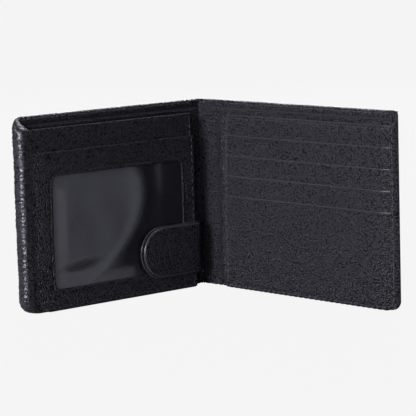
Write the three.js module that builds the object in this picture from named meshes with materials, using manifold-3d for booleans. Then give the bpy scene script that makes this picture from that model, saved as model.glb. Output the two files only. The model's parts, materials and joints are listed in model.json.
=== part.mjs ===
// Trifold wallet: two halves joined by a spine, and a third panel that folds over the left half and is held by a tab.
// Millimetres, +Z up. The wallet stands on its lower edges and opens towards -Y.
// Each panel has its own local frame: u runs outwards from its fold, h inwards from the outer leather, z up.
import * as THREE from 'three';
import { mergeVertices } from 'three/addons/utils/BufferGeometryUtils.js';
import Module from 'manifold-3d';

const wasm = await Module();
wasm.setup();
const { Manifold, Mesh: ManifoldMesh } = wasm;

const RAD = Math.PI / 180;

// Driving dimensions
const HEIGHT = 93;
const HALF_WIDTH = 116;
const SPINE_WIDTH = 16;
const LEFT_ANGLE = 42;            // left half, degrees from -X towards -Y
const SPINE_ANGLE = 42;           // spine, degrees from +X towards -Y
const RIGHT_ANGLE = 46;           // right half, degrees from +X towards -Y
const SHELL = 0.9;                // outer leather
const SPINE_FOLD_R = 3.0;         // outer radius of both spine folds
const EDGE_FOLD_R = 2.2;          // outer radius of the two folds at the flap's edge
const FOLD_GAP = 0.36;            // rigid leather stops this far short of a fold
const CORNER_R = 5;
const ARC_STEPS = 12;             // curve segments in a quarter turn

// Layer heights of both halves, from the outer face inwards
const LINING = [1.0, 1.4];
const BILL_WALL = [1.9, 2.5];
const POCKET_FIRST = 2.6;         // first card pocket's outer face
const POCKET_STEP = 0.45;
const POCKET_THICKNESS = 0.4;
const HEM = [1.5, 2.1];
const HEM_FOOT = HEIGHT - 3.8;
const BILL_WALL_TOP = HEIGHT - 4.5;
const RIM_WIDTH = 2.3;
const RIM_THICKNESS = 0.6;
const EDGE_CLEARANCE = 0.2;       // between a panel's edge and the rim that holds it

// Card pockets
const MOUTH_PITCH = 10;
const RIGHT_MOUTHS = [0, 1, 2, 3, 4].map((i) => 86 - MOUTH_PITCH * i);
const LEFT_PANEL_TOP = 86;
const LEFT_MOUTHS = [1, 2, 3].map((i) => LEFT_PANEL_TOP - MOUTH_PITCH * i);
const RIGHT_PANEL_START = 5.0;
const LEFT_PANEL_START = 11.8;
const LEFT_PANEL_END = 111.2;

// Flap
const FLAP_LINING = [5.4, 5.8];
const FLAP_STIFFENER = [5.9, 6.4];
const FLAP_SHELL = [6.5, 7.4];
const FILM = [7.55, 7.75];
const WINDOW_POCKET = [7.85, 8.65];
const FLAP_EDGE = 11.5;           // the flap's free edge
const FLAP_Z = [0.2, 87];
const POCKET_MOUTH = 76;
const WINDOW_U = [19.8, 100];
const WINDOW_Z = [10.3, 64.3];
const WINDOW_CORNER_R = 3.5;
const FILM_MARGIN = 4;

// Tab
const TAB_WIDTH = 25.4;
const TAB_FOOT = 7.8;             // lower edge's height
const TAB_TIP = 48.5;
const TAB_SEAM = 10.0;            // height of the seam between the tab's two leathers
const TAB_RISER = 10.4;
const TAB_SEAM_FOOT = 3.35;
const TAB_FOOT_END = 3.6;
const TAB_LINING_THICKNESS = 0.6;
const TAB_OUTER_THICKNESS = 1.1;
const TAB_SEAM_GAP = 0.05;        // each leather's share of the gap at the seam
const TAB_TOP_BEND = 1.9;
const TAB_FOOT_BEND = 1.6;
const TAB_END_STEP = 1.2;         // the lining's end stands out past the outer leather

// Magnets
const MAGNET_R = 4.5;
const MAGNET_THICKNESS = 0.4;
const MAGNET_FIT = 0.2;
const MAGNET_U = TAB_TIP - TAB_WIDTH / 2;
const MAGNET_Z = TAB_FOOT + TAB_WIDTH / 2;

// Thread
const THREAD = 0.5;
const THREAD_LIFT = 0.08;
const STITCH_INSET = 1.5;

const LOOKS = {
  leather: { color: 0x25242b, roughness: 0.55, metalness: 0 },
  leather_trim: { color: 0x2b2a32, roughness: 0.5, metalness: 0 },
  lining: { color: 0x1b1b20, roughness: 0.85, metalness: 0 },
  film: { color: 0x9a9ca6, roughness: 0.15, metalness: 0, transparent: true, opacity: 0.5 },
  board: { color: 0x8a7d68, roughness: 0.9, metalness: 0 },
  magnet: { color: 0x8e9094, roughness: 0.35, metalness: 1 },
  thread: { color: 0x1d1d22, roughness: 0.7, metalness: 0 },
};

// ---------------------------------------------------------------- solids

function toManifold(geometry) {
  const bare = new THREE.BufferGeometry();
  bare.setAttribute('position', geometry.getAttribute('position'));
  if (geometry.index) bare.setIndex(geometry.index);
  const merged = mergeVertices(bare, 1e-4);
  return new Manifold(new ManifoldMesh({
    numProp: 3,
    vertProperties: new Float32Array(merged.getAttribute('position').array),
    triVerts: new Uint32Array(merged.index.array),
  }));
}

function toGeometry(solid) {
  const mesh = solid.getMesh();
  const geometry = new THREE.BufferGeometry();
  geometry.setAttribute('position', new THREE.BufferAttribute(new Float32Array(mesh.vertProperties), 3));
  geometry.setIndex(new THREE.BufferAttribute(new Uint32Array(mesh.triVerts), 1));
  const flat = geometry.toNonIndexed();
  flat.computeVertexNormals();
  return flat;
}

// Rounded outline in (a, b); corners are radii for lower-left, lower-right, upper-right and upper-left.
function roundedOutline(a0, a1, b0, b1, corners = [0, 0, 0, 0]) {
  const shape = new THREE.Shape();
  const [ll, lr, ur, ul] = corners;
  shape.moveTo(a0 + ll, b0);
  shape.lineTo(a1 - lr, b0);
  if (lr) shape.absarc(a1 - lr, b0 + lr, lr, -Math.PI / 2, 0);
  shape.lineTo(a1, b1 - ur);
  if (ur) shape.absarc(a1 - ur, b1 - ur, ur, 0, Math.PI / 2);
  shape.lineTo(a0 + ul, b1);
  if (ul) shape.absarc(a0 + ul, b1 - ul, ul, Math.PI / 2, Math.PI);
  shape.lineTo(a0, b0 + ll);
  if (ll) shape.absarc(a0 + ll, b0 + ll, ll, Math.PI, 1.5 * Math.PI);
  return shape;
}

// A sheet of leather: an outline in (u, z), thick from h0 to h1.
function sheet(outline, [h0, h1]) {
  const geometry = new THREE.ExtrudeGeometry(outline, { depth: h1 - h0, bevelEnabled: false, curveSegments: ARC_STEPS });
  geometry.rotateX(Math.PI / 2);
  geometry.translate(0, h1, 0);
  return toManifold(geometry);
}

function plate([u0, u1], [z0, z1], heights, corners) {
  return sheet(roundedOutline(u0, u1, z0, z1, corners), heights);
}

function disc(u, z, radius, heights) {
  const outline = new THREE.Shape();
  outline.absarc(u, z, radius, 0, 2 * Math.PI);
  return sheet(outline, heights);
}

// A ribbon that follows a path of [u, h] points, from offset a to offset b on the path's left, tall from z0 to z1.
function ribbon(path, a, b, [z0, z1]) {
  const side = (offset) => path.map(([u, h, nu, nh]) => new THREE.Vector2(u + nu * offset, h + nh * offset));
  const outline = new THREE.Shape([...side(a), ...side(b).reverse()]);
  const geometry = new THREE.ExtrudeGeometry(outline, { depth: z1 - z0, bevelEnabled: false });
  geometry.translate(0, 0, z0);
  return toManifold(geometry);
}

// Points of a path on an arc; each point carries the normal that the ribbon is offset along.
function arc(cu, ch, radius, from, to, sign) {
  const points = [];
  const steps = Math.max(1, Math.round((ARC_STEPS * Math.abs(to - from)) / 90));
  for (let i = 0; i <= steps; i += 1) {
    const t = (from + ((to - from) * i) / steps) * RAD;
    points.push([cu + radius * Math.cos(t), ch + radius * Math.sin(t), sign * Math.cos(t), sign * Math.sin(t)]);
  }
  return points;
}

// ---------------------------------------------------------------- shared pieces

// Half of the outer leather: a flat panel whose edges are turned over the layers that it holds.
function turnedShell({ start, end, rimTop, closedEnd }) {
  const corner = closedEnd ? [0, CORNER_R, CORNER_R / 2, 0] : [0, 0, 0, 0];
  const body = plate([start, end], [0, HEIGHT], [0, SHELL], corner);
  const webEnd = closedEnd ? end - SHELL : end + 1;
  const flangeEnd = closedEnd ? end - RIM_WIDTH : end + 1;
  const inner = closedEnd ? [0, CORNER_R - SHELL, 0, 0] : undefined;
  const deepest = closedEnd ? [0, CORNER_R - RIM_WIDTH, 0, 0] : undefined;
  const rimHead = RIGHT_MOUTHS[0] + EDGE_CLEARANCE;
  let rim = plate([start, end], [0, rimHead], [SHELL / 2, rimTop], closedEnd ? [0, CORNER_R, 0, 0] : undefined);
  rim = rim.subtract(plate([start - 1, webEnd], [SHELL, HEIGHT], [0, rimTop - RIM_THICKNESS], inner));
  rim = rim.subtract(plate([start - 1, flangeEnd], [RIM_WIDTH, HEIGHT], [0, rimTop + 1], deepest));
  let hem = plate([start, end], [HEM_FOOT, HEIGHT], [SHELL / 2, HEM[1]], closedEnd ? [0, 0, CORNER_R / 2, 0] : undefined);
  hem = hem.subtract(plate([start - 1, end + 1], [HEM_FOOT - 1, HEIGHT - SHELL], [0, HEM[0]]));
  return Manifold.union([body, rim, hem]);
}

function cardPocket([u0, u1], mouth, index) {
  const h0 = POCKET_FIRST + POCKET_STEP * index;
  return plate([u0, u1], [SHELL + EDGE_CLEARANCE, mouth], [h0, h0 + POCKET_THICKNESS]);
}

// A row of thread along +u or +z, lying just above a face at height h.
const threadRow = ([u0, u1], z, h) => plate([u0, u1], [z - THREAD / 2, z + THREAD / 2], [h + THREAD_LIFT, h + THREAD_LIFT + THREAD]);
const threadColumn = (u, [z0, z1], h) => plate([u - THREAD / 2, u + THREAD / 2], [z0, z1], [h + THREAD_LIFT, h + THREAD_LIFT + THREAD]);

// ---------------------------------------------------------------- panels

const leftTurn = LEFT_ANGLE + SPINE_ANGLE;
const rightTurn = RIGHT_ANGLE - SPINE_ANGLE;
const leftFoot = SPINE_FOLD_R * Math.tan((leftTurn / 2) * RAD);
const rightFoot = SPINE_FOLD_R * Math.tan((rightTurn / 2) * RAD);
const leftStart = leftFoot + FOLD_GAP;
const rightStart = rightFoot + FOLD_GAP;
const edgeCentre = HALF_WIDTH - EDGE_FOLD_R;
const leftEnd = edgeCentre - FOLD_GAP;
const leftRimTop = 5.05;
const rightRimTop = POCKET_FIRST + POCKET_STEP * (RIGHT_MOUTHS.length - 1) + POCKET_THICKNESS + 0.1 + RIM_THICKNESS;

function leftHalf() {
  const shell = turnedShell({ start: leftStart, end: leftEnd, rimTop: leftRimTop, closedEnd: false });
  const layer = [leftStart, LEFT_PANEL_END];
  const cards = [LEFT_PANEL_START, LEFT_PANEL_END];
  const low = SHELL + EDGE_CLEARANCE;
  return {
    shell_left: [shell, 'leather'],
    lining_left: [plate(layer, [low, HEIGHT - SHELL - EDGE_CLEARANCE], LINING), 'lining'],
    bill_wall_left: [plate(layer, [low, BILL_WALL_TOP], BILL_WALL), 'leather_trim'],
    left_panel: [cardPocket(cards, LEFT_PANEL_TOP, 0), 'leather_trim'],
    ...Object.fromEntries(LEFT_MOUTHS.map((mouth, i) => [
      `left_card_pocket_${i + 1}`, [cardPocket(cards, mouth, i + 1), 'leather_trim'],
    ])),
    thread_hem_left: [threadRow([leftStart + 1, leftEnd - 1], HEIGHT - STITCH_INSET, HEM[1]), 'thread'],
  };
}

function rightHalf() {
  const shell = turnedShell({ start: rightStart, end: HALF_WIDTH, rimTop: rightRimTop, closedEnd: true });
  const end = HALF_WIDTH - SHELL - EDGE_CLEARANCE;
  const low = SHELL + EDGE_CLEARANCE;
  const inset = CORNER_R - SHELL;
  const layer = [rightStart, end];
  const cut = (solid) => solid.intersect(plate([0, end], [low, HEIGHT], [0, 8], [0, inset, 0, 0]));
  const stitch = HALF_WIDTH - STITCH_INSET;
  const turn = CORNER_R + 1;
  const rimThread = Manifold.union([
    threadRow([RIGHT_PANEL_START + 1, stitch - turn + 0.1], STITCH_INSET, rightRimTop),
    threadColumn(stitch, [STITCH_INSET + turn - 0.1, RIGHT_MOUTHS[0] - 1], rightRimTop),
    disc(stitch - turn, STITCH_INSET + turn, turn + THREAD / 2, [rightRimTop + THREAD_LIFT, rightRimTop + THREAD_LIFT + THREAD])
      .subtract(disc(stitch - turn, STITCH_INSET + turn, turn - THREAD / 2, [rightRimTop - 1, rightRimTop + 2]))
      .intersect(plate([stitch - turn, HALF_WIDTH], [0, STITCH_INSET + turn], [rightRimTop, rightRimTop + 1])),
  ]);
  return {
    shell_right: [shell, 'leather'],
    lining_right: [cut(plate(layer, [low, HEIGHT - SHELL - EDGE_CLEARANCE], LINING)), 'lining'],
    bill_wall_right: [cut(plate(layer, [low, BILL_WALL_TOP], BILL_WALL)), 'leather_trim'],
    ...Object.fromEntries(RIGHT_MOUTHS.map((mouth, i) => [
      `right_card_pocket_${i + 1}`, [cut(cardPocket([RIGHT_PANEL_START, end], mouth, i)), 'leather_trim'],
    ])),
    thread_hem_right: [threadRow([rightStart + 1, HALF_WIDTH - CORNER_R], HEIGHT - STITCH_INSET, HEM[1]), 'thread'],
    thread_right_rim: [rimThread, 'thread'],
  };
}

// The three leathers that cross the spine: a quarter bend at the left fold, a flat, and a slight bend at the right fold.
function spinePath(height) {
  const radius = SPINE_FOLD_R - height;
  const flatEnd = SPINE_WIDTH - rightFoot;
  return [
    ...arc(leftFoot, SPINE_FOLD_R, radius, -90 - leftTurn, -90, 1),
    ...arc(flatEnd, SPINE_FOLD_R, radius, -90, -90 + rightTurn, 1),
  ];
}

function spine() {
  const strip = ([h0, h1], heights) => {
    const path = spinePath((h0 + h1) / 2);
    const half = (h1 - h0) / 2;
    return ribbon(path, -half, half, heights);
  };
  const low = SHELL + EDGE_CLEARANCE;
  return {
    shell_spine: [strip([0, SHELL], [0, HEIGHT]), 'leather'],
    lining_spine: [strip(LINING, [low, HEIGHT - SHELL - EDGE_CLEARANCE]), 'lining'],
    bill_wall_spine: [strip(BILL_WALL, [low, BILL_WALL_TOP]), 'leather_trim'],
  };
}

function edgeStrip() {
  const radius = EDGE_FOLD_R - SHELL / 2;
  const path = [
    ...arc(edgeCentre, EDGE_FOLD_R, radius, -90, 0, 1),
    ...arc(edgeCentre, FLAP_SHELL[1] - EDGE_FOLD_R, radius, 0, 90, 1),
  ];
  const inset = 2;
  return { shell_edge: [ribbon(path, -SHELL / 2, SHELL / 2, [FLAP_Z[0] + inset, FLAP_Z[1] - inset]), 'leather'] };
}

function flap() {
  const wide = [FLAP_EDGE, leftEnd];
  const magnetHole = disc(MAGNET_U, MAGNET_Z, MAGNET_R + MAGNET_FIT, [FLAP_STIFFENER[0] - 1, FLAP_STIFFENER[1] + 1]);
  const window = plate(WINDOW_U, WINDOW_Z, [WINDOW_POCKET[0] - 1, WINDOW_POCKET[1] + 1], Array(4).fill(WINDOW_CORNER_R));
  const filmU = [WINDOW_U[0] - FILM_MARGIN, WINDOW_U[1] + FILM_MARGIN];
  const filmZ = [WINDOW_Z[0] - FILM_MARGIN, WINDOW_Z[1] + FILM_MARGIN];
  const pocketU = [FLAP_EDGE, LEFT_PANEL_END];
  const stitchZ = FLAP_Z[0] + STITCH_INSET;
  const stitchU = FLAP_EDGE + STITCH_INSET;
  return {
    flap_shell: [plate(wide, FLAP_Z, FLAP_SHELL), 'leather'],
    flap_stiffener: [plate([FLAP_EDGE + 2, LEFT_PANEL_END], [FLAP_Z[0] + 2, FLAP_Z[1] - 2], FLAP_STIFFENER)
      .subtract(magnetHole), 'board'],
    flap_magnet: [disc(MAGNET_U, MAGNET_Z, MAGNET_R, [FLAP_STIFFENER[0] + 0.05, FLAP_STIFFENER[0] + 0.05 + MAGNET_THICKNESS]), 'magnet'],
    flap_lining: [plate([FLAP_EDGE, LEFT_PANEL_END], FLAP_Z, FLAP_LINING), 'lining'],
    window_film: [plate(filmU, filmZ, FILM), 'film'],
    window_pocket: [plate(pocketU, [FLAP_Z[0], POCKET_MOUTH], WINDOW_POCKET).subtract(window), 'leather_trim'],
    thread_flap: [Manifold.union([
      threadRow([stitchU - THREAD / 2, LEFT_PANEL_END - 2], stitchZ, WINDOW_POCKET[1]),
      threadColumn(stitchU, [stitchZ, POCKET_MOUTH - 1], WINDOW_POCKET[1]),
    ]), 'thread'],
  };
}

// The tab's seam in (u, h): from the tip along the flap, down past the flap's free edge, and along the foot.
function tabSeam() {
  const topCentre = [TAB_RISER + TAB_TOP_BEND, TAB_SEAM - TAB_TOP_BEND];
  const footCentre = [TAB_RISER - TAB_FOOT_BEND, TAB_SEAM_FOOT + TAB_FOOT_BEND];
  return [
    [TAB_TIP, TAB_SEAM, 0, 1],
    ...arc(...topCentre, TAB_TOP_BEND, 90, 180, 1),
    ...arc(...footCentre, TAB_FOOT_BEND, 0, -90, -1),
    [TAB_FOOT_END, TAB_SEAM_FOOT, 0, 1],
  ];
}

function tab() {
  const z = [TAB_FOOT, TAB_FOOT + TAB_WIDTH];
  const radius = TAB_WIDTH / 2;
  const reach = [0, 15];
  const endMask = (tip) => plate([0, tip], z, reach, [0, radius, radius, 0]);
  const inset = TAB_END_STEP / 2;
  const seam = tabSeam();
  const outerZ = [z[0] + inset, z[1] - inset];
  const outerMask = plate([0, TAB_TIP - TAB_END_STEP], outerZ, reach, [0, radius - inset, radius - inset, 0]);
  const outerFace = TAB_SEAM + TAB_SEAM_GAP;
  const recess = disc(MAGNET_U, MAGNET_Z, MAGNET_R + MAGNET_FIT, [outerFace - 1, outerFace + MAGNET_THICKNESS + MAGNET_FIT]);
  const outer = ribbon(seam, TAB_SEAM_GAP, TAB_SEAM_GAP + TAB_OUTER_THICKNESS, z).intersect(outerMask).subtract(recess);
  const lining = ribbon(seam, -TAB_SEAM_GAP, -TAB_SEAM_GAP - TAB_LINING_THICKNESS, z).intersect(endMask(TAB_TIP));
  const footTop = TAB_SEAM_FOOT + TAB_SEAM_GAP + TAB_OUTER_THICKNESS;
  return {
    tab_outer: [outer, 'leather'],
    tab_lining: [lining, 'leather'],
    tab_magnet: [disc(MAGNET_U, MAGNET_Z, MAGNET_R, [outerFace + 0.1, outerFace + 0.1 + MAGNET_THICKNESS]), 'magnet'],
    thread_tab_foot: [threadColumn(TAB_FOOT_END + STITCH_INSET, [z[0] + 2, z[1] - 2], footTop), 'thread'],
  };
}

// ---------------------------------------------------------------- assembly

// Local h runs to +y on the left half and to -y on the spine and the right half, which are turned the other way.
function addPanel(parent, name, solids, { corner, angle, mirrored }) {
  const panel = new THREE.Group();
  panel.name = name;
  panel.position.copy(corner);
  panel.rotation.z = angle * RAD;
  for (const [node, [solid, look]] of Object.entries(solids)) {
    const placed = mirrored ? solid.mirror([0, 1, 0]) : solid;
    const mesh = new THREE.Mesh(toGeometry(placed), new THREE.MeshStandardMaterial(LOOKS[look]));
    mesh.name = node;
    panel.add(mesh);
  }
  parent.add(panel);
}

const spineDirection = new THREE.Vector3(Math.cos(SPINE_ANGLE * RAD), -Math.sin(SPINE_ANGLE * RAD), 0);
const spineInward = new THREE.Vector3(-Math.sin(SPINE_ANGLE * RAD), -Math.cos(SPINE_ANGLE * RAD), 0);
const leftCorner = new THREE.Vector3()
  .addScaledVector(spineDirection, -SPINE_WIDTH / 2)
  .addScaledVector(spineInward, -SHELL / 2);
const rightCorner = leftCorner.clone().addScaledVector(spineDirection, SPINE_WIDTH);

const wallet = new THREE.Group();
wallet.name = 'trifold_wallet';
const leftPlace = { corner: leftCorner, angle: 180 + LEFT_ANGLE, mirrored: false };
addPanel(wallet, 'left_half_group', leftHalf(), leftPlace);
addPanel(wallet, 'edge_group', edgeStrip(), leftPlace);
addPanel(wallet, 'flap_group', flap(), leftPlace);
addPanel(wallet, 'tab_group', tab(), leftPlace);
addPanel(wallet, 'spine_group', spine(), { corner: leftCorner, angle: -SPINE_ANGLE, mirrored: true });
addPanel(wallet, 'right_half_group', rightHalf(), { corner: rightCorner, angle: -RIGHT_ANGLE, mirrored: true });

export default wallet;
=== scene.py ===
"""Trifold wallet, Blender 4.5: leather sheets, stitching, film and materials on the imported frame.

Lengths are in millimetres until a point is placed. Each panel has its own coordinates: u runs outwards from
its fold, h inwards from the outer leather, and z up.
"""
import cmath
import json
import math

import bmesh
import bpy
from mathutils import Matrix, Vector, noise


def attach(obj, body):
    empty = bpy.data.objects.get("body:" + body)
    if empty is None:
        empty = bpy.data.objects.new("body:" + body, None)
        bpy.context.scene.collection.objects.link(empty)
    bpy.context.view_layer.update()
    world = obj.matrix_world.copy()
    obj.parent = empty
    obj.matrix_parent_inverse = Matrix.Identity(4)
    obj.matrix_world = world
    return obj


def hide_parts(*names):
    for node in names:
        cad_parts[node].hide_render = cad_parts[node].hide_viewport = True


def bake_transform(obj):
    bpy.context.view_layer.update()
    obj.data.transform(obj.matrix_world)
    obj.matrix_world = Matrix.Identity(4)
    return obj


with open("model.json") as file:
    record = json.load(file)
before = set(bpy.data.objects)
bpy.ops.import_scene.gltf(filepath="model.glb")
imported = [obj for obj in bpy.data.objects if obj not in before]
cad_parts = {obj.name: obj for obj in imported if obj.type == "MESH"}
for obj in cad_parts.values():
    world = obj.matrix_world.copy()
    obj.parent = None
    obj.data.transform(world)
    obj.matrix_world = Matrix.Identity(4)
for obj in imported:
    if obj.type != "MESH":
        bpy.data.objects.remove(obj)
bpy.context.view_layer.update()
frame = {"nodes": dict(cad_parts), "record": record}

MM = 0.001

# Mesh steps
STEP = 1.6                  # between grid lines on a plain panel
FINE_STEP = 0.8             # where leather bends
CREASE_STEP = 0.45          # along leather drawn into fine creases
RIM_STEP = 0.57             # along a turned edge
EDGE_OFFSETS = (0, 0.05, 0.13, 0.26, 0.45, 0.7, 1.0, 1.4, 1.7, 1.95, 2.2, 2.6, 3.2)     # in from a free edge

# Panels
FOLD_REACH = 5.5            # leather bends within this distance of a fold
FLAP_CORNER_LOW = 7.0       # radii of the left half's outer corners, at its foot and at its top
FLAP_CORNER_HIGH = 3.5
CORNER_REACH = 18.0         # these corners are drawn in over this much of the panel
SIDE_PRESS = 0.4            # share of its thickness that the right half loses along its outer side
SIDE_PRESS_REACH = 9.0

# Edges
CREASE_INSET = 1.95         # line pressed beside a turned edge
CREASE_WIDTH = 0.35
CREASE_DEPTH = 0.14
EDGE_BEAD = 0.15            # a turned edge stands this proud
PAINTED = 0.3               # cut edges are sealed with edge paint this far in

# Stitches and turned edges
STITCH_PITCH = 3.4
STITCH_LENGTH = 2.6
STITCH_RADIUS = 0.3
THREAD_HALF = 0.25          # half the width of a row of thread in the CAD
STITCH_INSET = 1.5          # from a turned edge to its stitches
PUCKER_WIDTH = 0.6          # an edge is pulled in between stitches over this width
PULL_IN = 0.4               # how far each stitch draws a turned edge in
PULL_DOWN = 0.25            # and down
RIM_WIDTH = 2 * STITCH_INSET - 0.4      # a turned edge reaches a little past its stitches
RIM_THICKNESS = 0.6
RIM_FOOT = 0.02             # its outer side starts this far in from the outer leather's face
FOOT_ROUND, SIDE_ROUND = 1.1, 2.4       # width of a turned edge's rounded outer side, at foot and side
FOOT_FALL, SIDE_FALL = 0.35, 0.72       # share of its height that it rounds away
HEM_MARGIN = 2.0            # hem below its stitches

NOISE_SEED = Vector((3.1, 7.7, 1.3))
PAINTED_REFLECTION_ATTRIBUTE = "painted_reflection"               # vertex attribute: the film's painted reflection, strongest where the film stands off its backing
STRAIN = "strain"           # vertex attribute: how far a tight fold stretches the leather's grain flat


# ---------------------------------------------------------------- the frame's panels

class Panel:
    """Coordinates of a flat panel, from its outer corner, its direction and the side that faces inwards."""

    def __init__(self, corner, along, inward):
        self.corner = corner
        self.along = along
        self.inward = inward

    def at(self, u, h, z):
        """The point in the frame, in metres, of coordinates in millimetres."""
        return self.corner + self.along * (u * MM) + self.inward * (h * MM) + Vector((0, 0, z * MM))

    def extent(self, node):
        """Lowest and highest u, h and z of a CAD node, in millimetres."""
        points = [v.co - self.corner for v in frame["nodes"][node].data.vertices]
        found = []
        for axis in (self.along, self.inward, Vector((0, 0, 1))):
            values = [p.dot(axis) / MM for p in points]
            found.append((min(values), max(values)))
        return found


def turned(direction, degrees):
    """A level direction turned to the left by some degrees."""
    return Matrix.Rotation(math.radians(degrees), 3, "Z") @ direction


def read_panels():
    """The left, spine and right panels, with each spine fold's radius, turn and pivot, from the record."""
    record = frame["record"]
    mounts = {m["name"]: m for m in record["mounts"]}
    pivots = {j["name"]: Vector(j["pos_m"]) for j in record["behaviour"]["joints"]}
    for pivot in pivots.values():
        pivot.z = 0
    out_left = Vector(mounts["left_cover"]["axis"])
    out_right = Vector(mounts["right_cover"]["axis"])
    face_left = Vector(mounts["left_cover"]["pos_m"])
    radius = -(pivots["left_fold"] - face_left).dot(out_left) / MM
    spine_along = (pivots["right_fold"] - pivots["left_fold"]).normalized()
    spine_inward = turned(spine_along, -90)
    left_along = turned(out_left, 90)
    right_along = turned(out_right, -90)
    left_turn = spine_along.angle(-left_along)
    right_turn = spine_along.angle(right_along)
    left_foot = radius * math.tan(left_turn / 2)
    right_foot = radius * math.tan(right_turn / 2)
    left_corner = pivots["left_fold"] - (spine_along * left_foot + spine_inward * radius) * MM
    right_corner = pivots["right_fold"] + (spine_along * right_foot - spine_inward * radius) * MM
    return {
        "left": Panel(left_corner, left_along, -out_left),
        "spine": Panel(left_corner, spine_along, spine_inward),
        "right": Panel(right_corner, right_along, -out_right),
        "radius": radius,
        "left_turn": left_turn,
        "right_turn": right_turn,
        "left_foot": left_foot,
        "right_foot": right_foot,
        "pivots": pivots,
    }


P = read_panels()
LEFT, SPINE, RIGHT = P["left"], P["spine"], P["right"]
SPINE_WIDTH = (RIGHT.corner - SPINE.corner).length / MM
SPINE_MIDDLE = SPINE_WIDTH / 2
HEIGHT = RIGHT.extent("shell_right")[2][1]
HALF_WIDTH = RIGHT.extent("shell_right")[0][1]
RIGHT_CORNER = HALF_WIDTH - RIGHT.extent("thread_hem_right")[0][1]


def layer(panel, node):
    """(lowest, highest) h of a CAD node."""
    return panel.extent(node)[1]


SHELL_THICKNESS = LEFT.extent("shell_edge")[1][1] - LEFT.extent("flap_shell")[1][0]
EDGE_RADIUS = (LEFT.at(0, 0, 0) - P["pivots"]["flap_fold_lower"]).dot(-LEFT.inward) / MM
FLAP_FACE = LEFT.extent("flap_shell")[1][1]
EDGE_CENTRE = (P["pivots"]["flap_fold_lower"] - LEFT.corner).dot(LEFT.along) / MM
FLAP_Z = LEFT.extent("flap_shell")[2]


def smooth(share):
    """0 to 1 with a soft start and end, for shares from 0 to 1."""
    share = max(0.0, min(1.0, share))
    return share * share * (3 - 2 * share)


def corner_cut(c, end, radius):
    """How much a rounded corner takes off at c, on the way to end."""
    inside = c - (end - radius)
    if radius <= 0 or inside <= 0:
        return 0.0
    return radius - math.sqrt(max(0.0, radius ** 2 - min(inside, radius) ** 2))


def left_at(u, h, z, low=0.0, top=None):
    """A point of the left half, whose folded outer end is drawn in at its corners."""
    hold = smooth((u - EDGE_CENTRE - EDGE_RADIUS + CORNER_REACH) / CORNER_REACH)
    top = HEIGHT if top is None else top
    cut = corner_cut(-z, -low, FLAP_CORNER_LOW) + corner_cut(z, top, FLAP_CORNER_HIGH)
    return LEFT.at(u - hold * cut, h, z)


def flap_at(u, h, z):
    """A point of the flap, which is a little shorter than the left half."""
    return left_at(u, h, z, *FLAP_Z)


def right_at(u, h, z):
    """A point of the right half, whose layers are pressed together towards the stitched outer side."""
    press = 1 - SIDE_PRESS * smooth((u - HALF_WIDTH + SIDE_PRESS_REACH) / SIDE_PRESS_REACH)
    return RIGHT.at(u, h * press, z)


def across_spine(c, h, z):
    """A point of the leathers that run from the left half over the spine to the right half.

    c is -u on the left half, u on the spine, and the spine's width plus u on the right half.
    """
    radius, left_foot, right_foot = P["radius"], P["left_foot"], P["right_foot"]
    if c <= -left_foot:
        return left_at(-c, h, z)
    if c < left_foot:
        angle = (c + left_foot) / (2 * left_foot) * P["left_turn"]
        return bend(LEFT, left_foot, radius, h, z, -LEFT.along, angle)
    if c <= SPINE_WIDTH - right_foot:
        return SPINE.at(c, h, z)
    if c < SPINE_WIDTH + right_foot:
        angle = (c - SPINE_WIDTH + right_foot) / (2 * right_foot) * P["right_turn"]
        return bend(SPINE, SPINE_WIDTH - right_foot, radius, h, z, SPINE.along, angle)
    return right_at(c - SPINE_WIDTH, h, z)


def bend(panel, u, radius, h, z, forward, angle):
    """A point on a bend that starts at u of a panel and turns by angle towards the inside."""
    reach = max(radius - h, 0.05) * MM
    pivot = panel.at(u, radius, z)
    return pivot + (forward * math.sin(angle) - panel.inward * math.cos(angle)) * reach


def leg_length(turn, size):
    """Length of a route's straight or quarter bend."""
    return size * math.pi / 2 if turn else size


def along_route(start, legs, c, offset):
    """(u, h) at a distance c along a route through a panel's section, and offset to its left.

    The route sets out along u. Its legs are (turn, size): a straight has turn 0 and its length, and a quarter
    bend has turn 1 to the left or -1 to the right and its radius.
    """
    place, heading = complex(*start), 1 + 0j
    for turn, size in legs:
        left = heading * 1j
        if c < leg_length(turn, size):
            break
        c -= leg_length(turn, size)
        place += (heading + left * turn) * size
        heading *= 1j ** turn
    if turn:
        arm = left * turn * (size - turn * offset)
        found = place + left * turn * size - arm * cmath.exp(1j * turn * c / size)
    else:
        found = place + heading * c + left * offset
    return found.real, found.imag


EDGE_FLAT = FLAP_FACE - 2 * EDGE_RADIUS
EDGE_LEGS = ((0, EDGE_CENTRE), (1, EDGE_RADIUS), (0, EDGE_FLAT), (1, EDGE_RADIUS), (0, math.inf))
EDGE_LENGTH = sum(leg_length(*leg) for leg in EDGE_LEGS[1:-1])
EDGE_MIDDLE = EDGE_CENTRE + EDGE_LENGTH / 2
EDGE_BULGE = 0.8            # the folded edge stands out this much in the middle


def edge_span(c):
    """z range of the leather round the edge: full height on the back, the flap's height on the flap."""
    share = smooth((c - EDGE_CENTRE) / EDGE_LENGTH)
    return FLAP_Z[0] * share, HEIGHT + (FLAP_Z[1] - HEIGHT) * share


def round_edge(c, depth, z):
    """A point of the leather that runs from the left half round the outer edge and back along the flap.

    c is u on the left half and goes on growing round the edge. depth is measured from the outer face.
    """
    u, h = along_route((0, 0), EDGE_LEGS, c, depth)
    return left_at(u, h, z, *edge_span(c))


# ---------------------------------------------------------------- mesh building

def ladder(start, end, step, fine_start=True, fine_end=True):
    """Positions from start to end, dense beside each free end."""
    length = end - start
    offsets = [o for o in EDGE_OFFSETS if o < length / 2]
    low = [start + o for o in offsets] if fine_start else [start]
    high = [end - o for o in offsets] if fine_end else [end]
    inner = high[-1] - low[-1]
    count = max(1, round(inner / step))
    middle = [low[-1] + inner * i / count for i in range(1, count)]
    return low + middle + high[::-1]


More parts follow.
